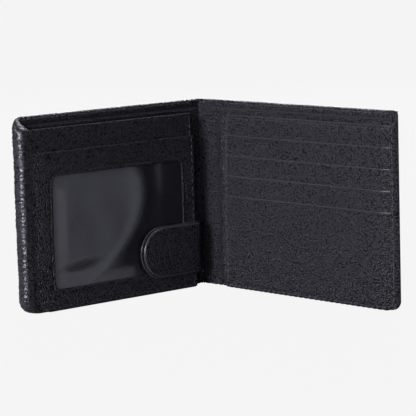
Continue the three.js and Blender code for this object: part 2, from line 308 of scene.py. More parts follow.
def rounding(distance, radius):
    """0 on an edge, rising to 1 at radius from it, as the section of a rounded edge does."""
    if distance >= radius:
        return 1.0
    return math.sqrt(max(0.0, 1 - (1 - distance / radius) ** 2))


def creased(distance, c=0.0, z=0.0, inset=CREASE_INSET):
    """Height of a turned edge's bead and of the line pressed beside it, the same all along the edge."""
    groove = -CREASE_DEPTH * math.exp(-((distance - inset) / CREASE_WIDTH) ** 2)
    bead = EDGE_BEAD * math.exp(-((distance - inset * 0.45) / (inset * 0.4)) ** 2)
    return groove + bead


def finish_mesh(name, bm, *materials):
    """Merges coincident points, faces the mesh outwards and makes a smooth object of it."""
    bmesh.ops.remove_doubles(bm, verts=bm.verts, dist=1e-7)
    bmesh.ops.dissolve_degenerate(bm, dist=1e-8, edges=bm.edges)
    bmesh.ops.recalc_face_normals(bm, faces=bm.faces)
    for face in bm.faces:
        face.smooth = True
    mesh = bpy.data.meshes.new(name)
    bm.to_mesh(mesh)
    bm.free()
    for material in materials:
        mesh.materials.append(material)
    piece = bpy.data.objects.new(name, mesh)
    bpy.context.scene.collection.objects.link(piece)
    return piece


def grid_faces(bm, grid, closed=False, painted=0):
    """Quads between rows of vertices. The first painted ones of each row take the second material."""
    rows = len(grid)
    for i in range(rows if closed else rows - 1):
        near, far = grid[i], grid[(i + 1) % rows]
        for j in range(len(near) - 1):
            face = bm.faces.new((near[j], far[j], far[j + 1], near[j + 1]))
            face.material_index = 1 if j < painted else 0


def two_sided(name, place, rows, materials, closed=False, painted=0, butts=()):
    """A closed sheet from rows of (c, z, outer face's h, inner face's h).

    closed joins the last row to the first. butts are the rows, first or last, where the sheet ends square.
    """
    bm = bmesh.new()
    outer = [[bm.verts.new(place(c, low, z)) for c, z, low, _ in row] for row in rows]
    inner = [[bm.verts.new(place(c, high, z)) for c, z, _, high in row] for row in rows]
    for grid in (outer, inner):
        grid_faces(bm, grid, closed, painted)
    for end in butts:
        cap(bm, outer[end], inner[end])
    return finish_mesh(name, bm, *materials)


def cap(bm, first, second):
    """Closes a square end with quads, and keeps its border sharp so that it doesn't shade its neighbours."""
    for j in range(len(first) - 1):
        face = bm.faces.new((first[j], first[j + 1], second[j + 1], second[j]))
        for edge in face.edges:
            edge.smooth = False


def layer_point(c, z, distance, heights, swell, crease, round_over=0.0):
    """A row's point in two_sided, at a distance from the sheet's rounded edge.

    heights are the sheet's two faces. swell(c, z) moves the sheet inwards, and crease(distance, c, z) raises
    its inner face. round_over is the width of that face's rounded edge, if it isn't half the thickness.
    """
    half = (heights[1] - heights[0]) / 2
    around = rounding(distance, half)
    middle = heights[0] + half + (swell(c, z) if swell else 0)
    raised = crease(distance, c, z) * around if crease else 0
    return c, z, middle - half * around, middle + half * rounding(distance, round_over or half) + raised


def sheet(name, place, columns, span, heights, material, free=(True, True), swell=None, step=STEP,
          crease=None):
    """A closed sheet of leather on a grid.

    columns run along the panel, and span(c) gives each column's lowest and highest z. free says which ends
    are cut edges: the others meet the next piece flat.
    """
    tallest = max(span(c)[1] - span(c)[0] for c in columns)
    shares = [z / tallest for z in ladder(0, tallest, step)]
    rows = []
    for c in columns:
        low, high = span(c)
        row = []
        for share in shares:
            z = low + (high - low) * share
            distance = min(z - low, high - z)
            if free[0]:
                distance = min(distance, c - columns[0])
            if free[1]:
                distance = min(distance, columns[-1] - c)
            row.append(layer_point(c, z, distance, heights, swell, crease))
        rows.append(row)
    butts = [end for cut, end in zip(free, (0, -1)) if not cut]
    return two_sided(name, place, rows, (material,), butts=butts)


def outline(u, z, radii, inset, side_step, corner_steps=6):
    """Points of a rounded rectangle, inset from its edge, always the same number of them."""
    (u0, u1), (z0, z1) = u, z
    count_u = max(2, round((u1 - u0) / side_step))
    count_z = max(2, round((z1 - z0) / side_step))
    a0, a1, b0, b1 = u0 + inset, u1 - inset, z0 + inset, z1 - inset
    if a1 < a0:
        a0 = a1 = (a0 + a1) / 2
    if b1 < b0:
        b0 = b1 = (b0 + b1) / 2
    limit = min(a1 - a0, b1 - b0) / 2
    lower_left, lower_right, upper_right, upper_left = [min(max(r - inset, 0), limit) for r in radii]
    corners = (
        (a0 + lower_left, b0 + lower_left, lower_left, 180),
        (a1 - lower_right, b0 + lower_right, lower_right, 270),
        (a1 - upper_right, b1 - upper_right, upper_right, 0),
        (a0 + upper_left, b1 - upper_left, upper_left, 90),
    )
    counts = (count_u, count_z, count_u, count_z)
    points = []
    for k, (cu, cz, r, start) in enumerate(corners):
        arc = []
        for i in range(corner_steps + 1):
            angle = math.radians(start + 90 * i / corner_steps)
            arc.append((cu + r * math.cos(angle), cz + r * math.sin(angle)))
        points.extend(arc)
        nu, nz, nr, nstart = corners[(k + 1) % 4]
        first = (nu + nr * math.cos(math.radians(nstart)), nz + nr * math.sin(math.radians(nstart)))
        last = arc[-1]
        for i in range(1, counts[k]):
            share = i / counts[k]
            points.append((last[0] + (first[0] - last[0]) * share, last[1] + (first[1] - last[1]) * share))
    return points


def ring_sheet(name, place, u, z, radii, heights, materials, swell=None, crease=None, side_step=3.0,
               round_over=0.0):
    """A closed sheet of leather built from rings inset from its outline, so that its rounded edge is even.

    materials are the faces' and the cut edge's.
    """
    deepest = min(u[1] - u[0], z[1] - z[0]) / 2
    insets = [o for o in EDGE_OFFSETS if o < deepest]
    while insets[-1] < deepest - side_step:
        insets.append(min(insets[-1] + side_step, deepest))
    insets.append(deepest)
    rings = []
    for inset in insets:
        points = outline(u, z, radii, inset, side_step)
        rings.append([layer_point(*point, inset, heights, swell, crease, round_over) for point in points])
    painted = sum(1 for inset in insets if inset < PAINTED)
    return two_sided(name, place, list(zip(*rings)), materials, closed=True, painted=painted)


def frame_sheet(name, place, hole, hole_radii, rim, rim_radii, heights, material, crease, skive):
    """A leather frame: rows from a rounded hole out to a rounded rim, with both edges turned.

    skive(u) is the share of its thickness that the frame keeps at u.
    """
    inner_points = outline(*hole, hole_radii, 0, 2.0)
    outer_points = matched_outline(*rim, rim_radii, inner_points, hole)
    edge = (heights[1] - heights[0]) / 2
    rows = []
    for (iu, iz), (ou, oz) in zip(inner_points, outer_points):
        width = math.hypot(ou - iu, oz - iz)
        row = []
        for t in ladder(0, width, 2.0):
            share = t / width
            cu, cz = iu + (ou - iu) * share, iz + (oz - iz) * share
            kept = skive(cu)
            around = rounding(min(t, width - t), edge) * kept
            middle = heights[0] + edge * kept
            row.append((cu, cz, middle - edge * around, middle + (edge + crease(t, cz)) * around))
        rows.append(row)
    even = min(len(row) for row in rows)
    for row in rows:
        while len(row) > even:
            row.pop(len(row) // 2)
    return two_sided(name, place, rows, (material,), closed=True)


def matched_outline(u, z, radii, inner, hole):
    """The rim's point that lies straight across the frame from each of the hole's points."""
    (h0, h1), (v0, v1) = hole
    stretched = []
    for cu, cz in inner:
        across = push_to_edge((cu - h0) / (h1 - h0), (cz - v0) / (v1 - v0), u, z)
        stretched.append(onto_corner(*across, u, z, radii))
    return stretched


def onto_corner(cu, cz, u, z, radii):
    """Moves a point of a rectangle's outline onto the arc where its corner is rounded."""
    corners = ((u[0], z[0]), (u[1], z[0]), (u[1], z[1]), (u[0], z[1]))
    for (corner_u, corner_z), r in zip(corners, radii):
        centre_u = corner_u + math.copysign(r, sum(u) / 2 - corner_u)
        centre_z = corner_z + math.copysign(r, sum(z) / 2 - corner_z)
        away = math.hypot(cu - centre_u, cz - centre_z)
        if abs(cu - corner_u) < r and abs(cz - corner_z) < r and away > r:
            return centre_u + (cu - centre_u) * r / away, centre_z + (cz - centre_z) * r / away
    return cu, cz


def push_to_edge(su, sz, u, z):
    """Moves a point of the unit square out to the nearest side of the rectangle u, z."""
    du, dz = abs(su - 0.5), abs(sz - 0.5)
    if du >= dz:
        edge_value = u[0] if su < 0.5 else u[1]
        return edge_value, z[0] + (z[1] - z[0]) * (0.5 + (sz - 0.5) * 0.5 / max(du, 1e-6))
    edge_value = z[0] if sz < 0.5 else z[1]
    return u[0] + (u[1] - u[0]) * (0.5 + (su - 0.5) * 0.5 / max(dz, 1e-6)), edge_value


def swept(name, stations, profile):
    """A closed bar of leather: profile(station) gives the points of its section at each station."""
    bm = bmesh.new()
    rings = []
    for station in stations:
        rings.append([bm.verts.new(p) for p in profile(station)])
    grid_faces(bm, [ring + [ring[0]] for ring in rings])
    bm.faces.new(rings[0][::-1])
    bm.faces.new(rings[-1])
    return finish_mesh(name, bm, LEATHER)


def stitch_row(name, replaced, body, place, path, height):
    """Separate stitches along a path of (c, z) points, half sunk in the face at height(c, z)."""
    bm = bmesh.new()
    for first, last in stitch_spans(path):
        add_stitch(bm, place, first, last, height)
    settle(finish_mesh(name, bm, THREAD), "thread", replaced, body)


def stitch_spans(path):
    """Start and end of each stitch. The gaps between stitches lie at whole pitches from the path's start."""
    lengths = [0.0]
    for (c0, z0), (c1, z1) in zip(path, path[1:]):
        lengths.append(lengths[-1] + math.hypot(c1 - c0, z1 - z0))
    spans = []
    for i in range(int(lengths[-1] / STITCH_PITCH)):
        start = i * STITCH_PITCH + (STITCH_PITCH - STITCH_LENGTH) / 2
        spans.append((along_path(path, lengths, start), along_path(path, lengths, start + STITCH_LENGTH)))
    return spans


def pucker(distance):
    """1 in the gaps between stitches, where the thread pulls an edge in, and 0 along the stitches."""
    phase = distance / STITCH_PITCH % 1
    gap = min(phase, 1 - phase) * STITCH_PITCH
    return math.exp(-(gap / PUCKER_WIDTH) ** 2)


def along_path(path, lengths, distance):
    """The point of a path at a distance from its start. lengths are the distances of its corners."""
    for i in range(len(path) - 1):
        if distance <= lengths[i + 1] or i == len(path) - 2:
            share = (distance - lengths[i]) / (lengths[i + 1] - lengths[i])
            (c0, z0), (c1, z1) = path[i], path[i + 1]
            return c0 + (c1 - c0) * share, z0 + (z1 - z0) * share


def add_stitch(bm, place, first, last, height, rings=7, sides=8):
    """One stitch: a cord that dives into the leather at both ends."""
    dc, dz = last[0] - first[0], last[1] - first[1]
    length = math.hypot(dc, dz)
    nc, nz = -dz / length, dc / length
    loops = []
    for i in range(rings):
        t = i / (rings - 1)
        arch = math.sin(math.pi * t)
        radius = STITCH_RADIUS * (0.35 + 0.65 * arch ** 0.5)
        lean = 0.12 * (t - 0.5)
        c = first[0] + dc * t + nc * lean
        z = first[1] + dz * t + nz * lean
        base = height(c, z) + 0.16 * arch - 0.1
        loop = []
        for k in range(sides):
            angle = 2 * math.pi * k / sides
            side = radius * math.cos(angle)
            loop.append(bm.verts.new(place(c + nc * side, base + radius * math.sin(angle), z + nz * side)))
        loops.append(loop + [loop[0]])
    grid_faces(bm, loops)
    bm.faces.new(loops[0][:-1][::-1])
    bm.faces.new(loops[-1][:-1])


def wrinkle(c, z, across, along, amount=1.0):
    """Smooth seeded noise, with its own scale across and along the fold."""
    return amount * noise.noise(Vector((c / across, z / along, 0)) + NOISE_SEED)


def settle(piece, slot, replaced, *riding):
    """Hides the CAD nodes that a piece stands for and attaches it to one body that it moves with. slot, its
    finish, is not used.

    riding is one body, or the two bodies of a blend with its start and end; a blend's bodies and points are
    not read, and such a piece is only fixed where it stands.
    """
    if replaced:
        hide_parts(*replaced)
    if len(riding) == 1:
        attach(piece, *riding)
    else:
        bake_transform(piece)


# ---------------------------------------------------------------- materials

class Surface:
    """A material under construction: each node's inputs are values or other nodes' outputs."""

    def __init__(self, name):
        self.material = bpy.data.materials.new(name)
        self.material.use_nodes = True
        self.nodes = self.material.node_tree.nodes
        self.links = self.material.node_tree.links
        self.place = self.nodes.new("ShaderNodeTexCoord").outputs["Object"]

    def feed(self, target, value):
        """Sets one input, or links it to another node's output."""
        if isinstance(value, bpy.types.NodeSocket):
            self.links.new(value, target)
        else:
            target.default_value = value

    def add(self, kind, inputs, output=0, **settings):
        """Adds a node and returns one of its outputs."""
        made = self.nodes.new("ShaderNode" + kind)
        for key, value in settings.items():
            setattr(made, key, value)
        for key, value in inputs.items():
            self.feed(made.inputs[key], value)
        return made.outputs[output]

    def noise(self, scale, detail, output="Fac"):
        """Soft noise. Scales are in cycles per metre."""
        return self.add("TexNoise", {"Vector": self.place, "Scale": scale, "Detail": detail}, output)

    def wave(self, vector, scale, distortion=0.0, detail=2.0, bands="X"):
        """Parallel bands, as a weave or a cord has."""
        inputs = {"Vector": vector, "Scale": scale, "Distortion": distortion, "Detail": detail}
        return self.add("TexWave", inputs, "Fac", bands_direction=bands)

    def scaled(self, value, low, high, start=0.0, end=1.0):
        """A value that goes from start to end, spread from low to high."""
        inputs = {"Value": value, "From Min": start, "From Max": end, "To Min": low, "To Max": high}
        return self.add("MapRange", inputs)

    def product(self, value, factor, extra=0.0):
        """value times factor, plus extra."""
        return self.add("Math", {0: value, 1: factor, 2: extra}, operation="MULTIPLY_ADD")

    def ramp(self, value, *stops):
        """Colours blended along a value, from (position, colour) stops."""
        made = self.nodes.new("ShaderNodeValToRGB")
        elements = made.color_ramp.elements
        while len(elements) < len(stops):
            elements.new(0.5)
        for element, (position, colour) in zip(elements, stops):
            element.position = position
            element.color = (*colour, 1)
        self.links.new(value, made.inputs["Fac"])
        return made.outputs["Color"]

    def bump(self, height, depth, strength):
        """The normal of a surface pressed in a pattern that is depth millimetres deep."""
        return self.add("Bump", {"Height": height, "Distance": depth * MM, "Strength": strength})

    def finish(self, **inputs):
        """Feeds the shader's inputs, named with _ for spaces, and returns the material."""
        shader = self.nodes["Principled BSDF"]
        for key, value in inputs.items():
            self.feed(shader.inputs[key.replace("_", " ")], value)
        return self.material


def grey(tone):
    """A colour or direction with three equal parts."""
    return (tone, tone, tone)


def leather_material(name, light, roughness, cell):
    """Pebbled leather: rounded pebbles with pressed lines between them and finer grain on top, with painted
    shade in the pits between pebbles, which are darker and less specular.

    cell is a pebble's size. Where a tight fold stretches the leather, its grain is flatter and shinier.
    """
    s = Surface(name)
    uneven = s.noise(WARP_SCALE, 2.0, "Color")
    warped = s.add("VectorMath", {0: uneven, 1: grey(WARP_REACH * MM), 2: s.place}, operation="MULTIPLY_ADD")
    cells = {"Vector": warped, "Scale": 1000.0 / cell, "Smoothness": 0.1}
    distance = s.add("TexVoronoi", cells, "Distance", feature="SMOOTH_F1")
    pebbles = s.ramp(distance, (0.0, grey(1.0)), (0.38, grey(0.75)), (0.8, grey(0.0)))
    height = s.product(s.noise(FINE_GRAIN_SCALE, 3.0), FINE_GRAIN_SHARE, pebbles)
    strain = s.add("Attribute", {}, "Fac", attribute_name=STRAIN)
    # painted shade: the pits between pebbles reflect less
    pit_shaded_shine = s.scaled(pebbles, *PEBBLE_SHINE)
    dull = s.scaled(s.noise(BROAD_SCALE, 4.0), roughness - 0.07, roughness + 0.09, 0.3, 0.7)
    # painted shade: the colour darkens in the pits between pebbles
    pit_shaded_colour = s.add("Mix", {"Factor": pebbles, 6: (*PAINTED_PIT_SHADE, 1), 7: (*light, 1)}, 2, data_type="RGBA")
    return s.finish(
        Base_Color=pit_shaded_colour,
        Roughness=s.product(strain, -FOLD_POLISH, dull),
        Specular_IOR_Level=s.product(pit_shaded_shine, strain, pit_shaded_shine),
        Normal=s.bump(height, PEBBLE_DEPTH, s.scaled(strain, 1.0, STRETCHED_GRAIN)),
    )


def lining_material(name, colour):
    """Fine twill weave."""
    s = Surface(name)
    turn = (0.0, math.radians(35), math.radians(42))
    turned_place = s.add("Mapping", {"Vector": s.place, "Rotation": turn})
    cross = s.product(s.wave(turned_place, 420.0, 0.6, 1.0), s.wave(s.place, 600.0, bands="Z"))
    return s.finish(
        Base_Color=s.ramp(cross, (0.0, [c * 0.5 for c in colour]), (1.0, colour)),
        Roughness=0.85,
        Sheen_Weight=0.3,
        Normal=s.bump(cross, 0.06, 0.7),
    )


def film_material(name):
    """Clear flexible film with a painted reflection: lighter and less clear where it stands off the leather
    behind it, dark where it lies against it.
    """
    s = Surface(name)
    # painted reflection: the film's colour and opacity follow the stored mask, mottled a little
    painted_reflection = s.add("Attribute", {}, "Fac", attribute_name=PAINTED_REFLECTION_ATTRIBUTE)
    scuff = s.noise(130.0, 3.0)
    mottled_reflection = s.product(painted_reflection, s.product(scuff, 0.25, 0.87))
    return s.finish(
        Base_Color=s.ramp(mottled_reflection, (0.0, FILM_DARK), (1.0, FILM_REFLECTION_TONE)),
        Roughness=s.scaled(scuff, 0.1, 0.26),
        Alpha=s.scaled(painted_reflection, 0.78, 0.88),
        Specular_IOR_Level=0.8,
        Normal=s.bump(scuff, 0.3, 0.12),
    )


def thread_material(name, colour):
    """Twisted thread."""
    s = Surface(name)
    twist = s.wave(s.place, 900.0, 1.5, bands="DIAGONAL")
    return s.finish(
        Base_Color=s.ramp(twist, (0.0, [c * 0.5 for c in colour]), (1.0, colour)),
        Roughness=0.5,
        Normal=s.bump(twist, 0.05, 0.8),
    )


def mottled_material(name, colour, roughness, metallic, grain):
    """Board, edge paint or plated metal with a fine mottled surface. grain is its size."""
    s = Surface(name)
    speck = s.noise(1000.0 / grain, 5.0)
    return s.finish(
        Base_Color=s.ramp(speck, (0.3, [c * 0.75 for c in colour]), (0.7, colour)),
        Roughness=roughness,
        Metallic=metallic,
        Normal=s.bump(speck, 0.04, 0.4),
    )


WARP_SCALE = 400.0          # the pebbles' places are uneven at this scale
WARP_REACH = 0.9            # and by this much
FINE_GRAIN_SCALE = 2200.0
FINE_GRAIN_SHARE = 0.45     # depth of the finest grain, as a share of the pebbles'
BROAD_SCALE = 90.0          # scale of the duller and shinier patches
PEBBLE_DEPTH = 0.44
PEBBLE_SHINE = (0.19, 0.6)  # specular level between pebbles and on top of them; the low level between them is painted shade
STRETCHED_GRAIN = 0.25      # share of the grain's depth left in a tight fold
FOLD_POLISH = 0.07          # how much smoother a tight fold is
# painted shade in the pebbles' pits
PAINTED_PIT_SHADE = (0.001, 0.001, 0.0015)
# the film's colour where it lies against the leather, and its colour under the painted reflection
FILM_DARK, FILM_REFLECTION_TONE = (0.015, 0.015, 0.019), (0.108, 0.109, 0.123)

LEATHER = leather_material("wallet_leather", (0.024, 0.023, 0.032), 0.41, 0.8)
TRIM = leather_material("pocket_leather", (0.025, 0.0235, 0.033), 0.43, 0.77)
CLOTH = lining_material("bill_lining", (0.012, 0.012, 0.015))
FILM = film_material("window_film_clear")
THREAD = thread_material("wallet_thread", (0.045, 0.044, 0.052))
EDGE_PAINT = mottled_material("edge_paint", (0.045, 0.044, 0.055), 0.3, 0.0, 1.5)
BOARD = mottled_material("fibre_board", (0.32, 0.27, 0.2), 0.9, 0.0, 0.8)
PLATED = mottled_material("plated_magnet", (0.55, 0.56, 0.58), 0.3, 1.0, 0.5)


# ---------------------------------------------------------------- leathers that cross the spine

SPINE_CREASES = 0.26        # depth of the spine's creases
SEAM = SPINE_WIDTH + RIGHT.extent("right_card_pocket_1")[0][0]
SEAM_RISE = 1.7             # the spine's leather puffs up this high beside the seam
SEAM_REACH = 8.0            # over this width
SEAM_BROW = 1.2             # up to this distance from the seam
SEAM_DROP = 0.55            # and drops again over this width
SEAM_FINE = 1.4             # grid lines are close together within this distance of the seam
SEAM_STEP = 0.22
LEFT_STOP = LEFT.extent("shell_left")[0][1]
SPINE_BLENDS = {
    "left": ("left_half", "spine", LEFT.at(FOLD_REACH, 0, 0), SPINE.at(FOLD_REACH, 0, 0)),
    "right": ("spine", "right_half", SPINE.at(SPINE_WIDTH - FOLD_REACH, 0, 0), RIGHT.at(FOLD_REACH, 0, 0)),
}


def spine_columns(low, high, free_low, free_high):
    """Grid lines across the spine: fine between the folds' reaches, plain elsewhere."""
    fine_start, seam_start = -FOLD_REACH - 2, SEAM - SEAM_FINE
    columns = []
    stretches = (
        (low, fine_start, STEP),
        (fine_start, seam_start, FINE_STEP),
        (seam_start, SEAM, SEAM_STEP),
        (SEAM, high, STEP),
    )
    for first, last, step in stretches:
        first, last = max(first, low), min(last, high)
        if last > first:
            part = ladder(first, last, step, free_low and first == low, free_high and last == high)
            columns += part if not columns else part[1:]
    return columns


def corner_span(low, high, end, low_radius, high_radius):
    """z range of a panel whose free end at c = end has rounded corners."""
    def span(c):
        return low + corner_cut(c, end, low_radius), high - corner_cut(c, end, high_radius)
    return span


def spine_swell(c, z):
    """Leather in the spine gathers into short creases across the fold."""
    inside = 1 - abs(c - SPINE_MIDDLE) / (SPINE_MIDDLE + 3)
    if inside <= 0:
        return 0.0
    creases = wrinkle(c, z, 7.0, 1.3) + wrinkle(c, z, 5.0, 4.0, 0.6)
    return SPINE_CREASES * smooth(inside * 2.5) * (0.6 + creases) + seam_roll(c, z)


def seam_roll(c, z):
    """The spine's leather puffs up to the card pockets' height, then drops steeply to the seam there."""
    _, _, (low, high) = RIGHT.extent("right_card_pocket_1")
    climb = smooth((c - SEAM + SEAM_REACH) / (SEAM_REACH - SEAM_BROW))
    drop = smooth((SEAM - 0.1 - c) / SEAM_DROP)
    return SEAM_RISE * climb * drop * smooth((z - low - 1) / 5) * smooth((high + 0.5 - z) / 5)


def spine_pair(name, cad_name, heights, z, ends, corners, material, slot, free=True, swell=None, step=STEP,
               crease=None):
    """One leather in two pieces that meet in the middle of the spine.

    ends are how far it reaches on each half, and free says whether its left end is a cut edge.
    """
    right_end = SPINE_WIDTH + ends[1]
    columns = spine_columns(-ends[0], SPINE_MIDDLE, free, False)
    left = sheet(f"{name}_left", across_spine, columns, lambda c: z, heights, material, (free, False), swell,
                 step, crease)
    columns = spine_columns(SPINE_MIDDLE, right_end, False, True)
    right = sheet(f"{name}_right", across_spine, columns, corner_span(*z, right_end, *corners), heights,
                  material, (False, True), swell, step, crease)
    settle(left, slot, (f"{cad_name}_left", f"{cad_name}_spine"), *SPINE_BLENDS["left"])
    settle(right, slot, (f"{cad_name}_right",), *SPINE_BLENDS["right"])


def build_spine_leathers():
    """The outer leather, the bill compartment's lining and its inner wall."""
    spine_pair("outer_leather", "shell", (0, SHELL_THICKNESS), (0, HEIGHT), (LEFT_STOP, HALF_WIDTH),
               (RIGHT_CORNER, RIGHT_CORNER / 2), LEATHER, "leather", free=False)
    u, h, z = RIGHT.extent("lining_right")
    ends = (LEFT.extent("lining_left")[0][1], u[1])
    spine_pair("bill_lining", "lining", h, z, ends, (RIGHT_CORNER, 0), CLOTH, "lining")
    u, h, z = RIGHT.extent("bill_wall_right")
    ends = (LEFT.extent("bill_wall_left")[0][1], u[1])
    spine_pair("bill_wall", "bill_wall", h, z, ends, (RIGHT_CORNER, 0), TRIM, "leather_trim",
               swell=spine_swell, step=CREASE_STEP, crease=creased)


# ---------------------------------------------------------------- turned edges

SPINE_RIM_TOP = min(layer(RIGHT, "bill_wall_right")[1] + 0.4, P["radius"] - 0.1)


def rim_section(station):
    """Section of a turned edge, whose rounded outer side is drawn in between stitches.

    A station is (c, z, inward direction, height, distance along the seam, share of the full outer roll).
    """
    c, z, (inc, inz), top, seam, roll = station
    strip = min(RIM_THICKNESS, top * 0.6)
    pull = pucker(seam)
    width = RIM_WIDTH
    r, fall = rim_roll(top, roll)
    section = [(0.5 * r, RIM_FOOT), (0.15 * r, RIM_FOOT + 0.1 * r), (0, RIM_FOOT + 0.4 * r)]
    for i in range(6):
        angle = math.pi / 2 * i / 5
        section.append((r - r * math.cos(angle), top - fall + fall * math.sin(angle)))
    section += [(width - 0.12, top - 0.1), (width, top - 0.3), (width, top - strip)]
    section += [(width * 0.8, top - strip), (width * 0.8, RIM_FOOT)]
    points = []
    for inset, h in section:
        drawn_in = inset + PULL_IN * pull * max(0.0, 1 - inset / 2.2)
        drawn_down = PULL_DOWN * pull * smooth((h - top + 1.5) / 1.5) * smooth(width - inset)
        points.append(across_spine(c + inc * drawn_in, h - drawn_down, z + inz * drawn_in))
    return points


def step_up(c, start, length, low, high):
    """Height that climbs from low to high over a length that starts at c = start."""
    return low + (high - low) * smooth((c - start) / length)


def rim_roll(top, roll):
    """Width and drop of a turned edge's rounded outer side."""
    width = FOOT_ROUND + (SIDE_ROUND - FOOT_ROUND) * roll
    return min(width, top * 0.45), top * (FOOT_FALL + (SIDE_FALL - FOOT_FALL) * roll)


def rim_face(top, roll, inset):
    """Height of a turned edge at a distance from the outside."""
    width, fall = rim_roll(top, roll)
    return top - fall * (1 - rounding(inset, width))


def build_right_rim():
    """The turned edge along the spine's foot, the right half's foot, its corner and its outer side."""
    u, h, z = RIGHT.extent("shell_right")
    pocket_u, _, pocket_z = RIGHT.extent("right_card_pocket_1")
    radius = RIGHT_CORNER
    end = SPINE_WIDTH + u[1]
    head = z[1] - 0.3
    hem_top = layer(RIGHT, "thread_hem_right")[0]
    seam_corner = radius - STITCH_INSET
    straight = u[1] - radius - RIGHT.extent("thread_right_rim")[0][0]
    arc = seam_corner * math.pi / 2
    stations = []
    for c in rim_columns(SPINE_MIDDLE, end - radius):
        top = step_up(c, SPINE_WIDTH + pocket_u[0] - 2.5, 3.0, SPINE_RIM_TOP, h[1])
        stations.append((c, 0.0, (0, 1), top, c - (end - radius) + straight, 0.0))
    for i in range(1, 16):
        angle = math.radians(-90 + 90 * i / 16)
        inward = (-math.cos(angle), -math.sin(angle))
        centre = (end - radius, radius)
        stations.append((centre[0] - inward[0] * radius, centre[1] - inward[1] * radius, inward, h[1],
                         straight + arc * i / 16, smooth(i / 16)))
    for y in rim_columns(radius, head):
        drop = step_up(y, pocket_z[1] - 1.0, 3.5, 0, h[1] - hem_top)
        stations.append((end, y, (-1, 0), h[1] - drop, straight + arc + y - radius, 1.0))
    settle(swept("right_rim", stations, rim_section), "leather", (), *SPINE_BLENDS["right"])


def rim_columns(low, high):
    """Evenly spaced positions, close enough together to show each stitch's pull."""
    count = round((high - low) / RIM_STEP)
    return [low + (high - low) * i / count for i in range(count + 1)]


def build_left_rim():
    """The turned edge along the left half's foot, behind the flap."""
    _, h, _ = LEFT.extent("shell_left")
    panel_start = LEFT.extent("left_panel")[0][0]
    stations = []
    for c in rim_columns(-LEFT_STOP + 1, SPINE_MIDDLE):
        top = step_up(-c, panel_start - 3.0, 3.0, SPINE_RIM_TOP, h[1])
        stations.append((c, 0.0, (0, 1), top, c, 0.0))
    settle(swept("left_rim", stations, rim_section), "leather", (), *SPINE_BLENDS["left"])


def hem_distance(c):
    """Distance along the hem's stitches, which start afresh on each panel."""
    if c < 0:
        return -c
    return c - SPINE_WIDTH if c > SPINE_WIDTH else c


def build_hems():
    """The outer leather's top edge, turned down over the lining and drawn in at every stitch."""
    hem_top = layer(RIGHT, "thread_hem_right")[0]
    foot = sum(RIGHT.extent("thread_hem_right")[2]) / 2 - HEM_MARGIN
    lining = layer(RIGHT, "lining_right")[1] + 0.05
    end = SPINE_WIDTH + HALF_WIDTH

    def profile(c):
        pull = pucker(hem_distance(c))
        top = HEIGHT - corner_cut(c, end, RIGHT_CORNER / 2) - PULL_IN * pull
        face = hem_top - 0.12 * pull
        section = [
            (0.02, top - 1.2), (0.02, top - 0.45), (0.2, top - 0.12), (0.6, top + 0.05),
            (hem_top * 0.7, top + 0.02), (face - 0.1, top - 0.3), (face, top - 0.9),
            (face + 0.05, (top + foot) / 2), (face - 0.02, foot + 0.5), (face - 0.1, foot + 0.1),
            (face - 0.3, foot), (lining, foot), (lining, top - 1.2),
        ]
        return [across_spine(c, depth, height) for depth, height in section]

    for side, low, high in (("left", -LEFT_STOP - 0.5, SPINE_MIDDLE), ("right", SPINE_MIDDLE, end - 0.6)):
        hem = swept(f"{side}_hem", rim_columns(low, high), profile)
        settle(hem, "leather", (), *SPINE_BLENDS[side])


# ---------------------------------------------------------------- card pockets

MOUTH_SHARE = 0.55          # a card pocket's thin mouth is creased less than a cover's edge


def mouth_crease(mouth, sides):
    """A pocket's mouth is a turned, creased edge; its other edges are sewn flat."""
    def crease(distance, u, z):
        return MOUTH_SHARE * creased(mouth - z) * smooth(min(u - sides[0], sides[1] - u) / 6.0)
    return crease


def pocket_wave(u, z):
    """All the pockets of a half stand off together in a slight wave between their seams."""
    (u0, u1), _, (z0, z1) = RIGHT.extent("right_card_pocket_1")
    hold = smooth(min(u - u0, u1 - u) / 12) * smooth((z - z0) / 12) * smooth((z1 - z) / 6)
    return hold * (0.3 + wrinkle(u, z, 26, 22, 0.55))


def card_pocket(name, node_name, panel, place, body, swell=None):
    """One leather of a card slot, with three sewn sides and an open mouth at the top."""
    u, h, z = panel.extent(node_name)
    piece = ring_sheet(name, place, u, z, (0.3, 0.3, 0.6, 0.6), h, (TRIM, EDGE_PAINT), swell,
                       mouth_crease(z[1], u), side_step=2.0)
    settle(piece, "leather_trim", (node_name,), body)


def build_pockets():
    """The right half's five slots, and the left half's base and three slots behind the flap."""
    for i in range(1, 6):
        card_pocket(f"right_pocket_{i}", f"right_card_pocket_{i}", RIGHT, right_at, "right_half", pocket_wave)
    card_pocket("left_base", "left_panel", LEFT, left_at, "left_half")
    for i in range(1, 4):
        card_pocket(f"left_pocket_{i}", f"left_card_pocket_{i}", LEFT, left_at, "left_half")


# ---------------------------------------------------------------- flap

STRAIN_REACH = 4.0          # the folded edge's strain sets in over this width
SKIVE = 6.0                 # the window frame is pared thin over this width at the flap's fold
WINDOW_CORNER = 3.5
RIDGE_TURN = 0.77           # share of the window's height where the film's fold comes nearest to the spine
RIDGE_NEAREST = 0.31
DIMPLE_PLACE, DIMPLE_SIZE = (0.79, 0.19), (0.15, 0.05)      # shares of the window's width and height
STREAK_PLACE = 0.13


def window_hole():
    """The window's opening, from the CAD frame's vertices that don't lie on its outside."""
    (u0, u1), _, (z0, z1) = LEFT.extent("window_pocket")
    points = []
    for vertex in frame["nodes"]["window_pocket"].data.vertices:
        p = vertex.co - LEFT.corner
        u, z = p.dot(LEFT.along) / MM, p.z / MM
        if min(u - u0, u1 - u, z - z0, z1 - z) > 1:
            points.append((u, z))
    us, zs = [p[0] for p in points], [p[1] for p in points]
    return (min(us), max(us)), (min(zs), max(zs))


WINDOW = window_hole()


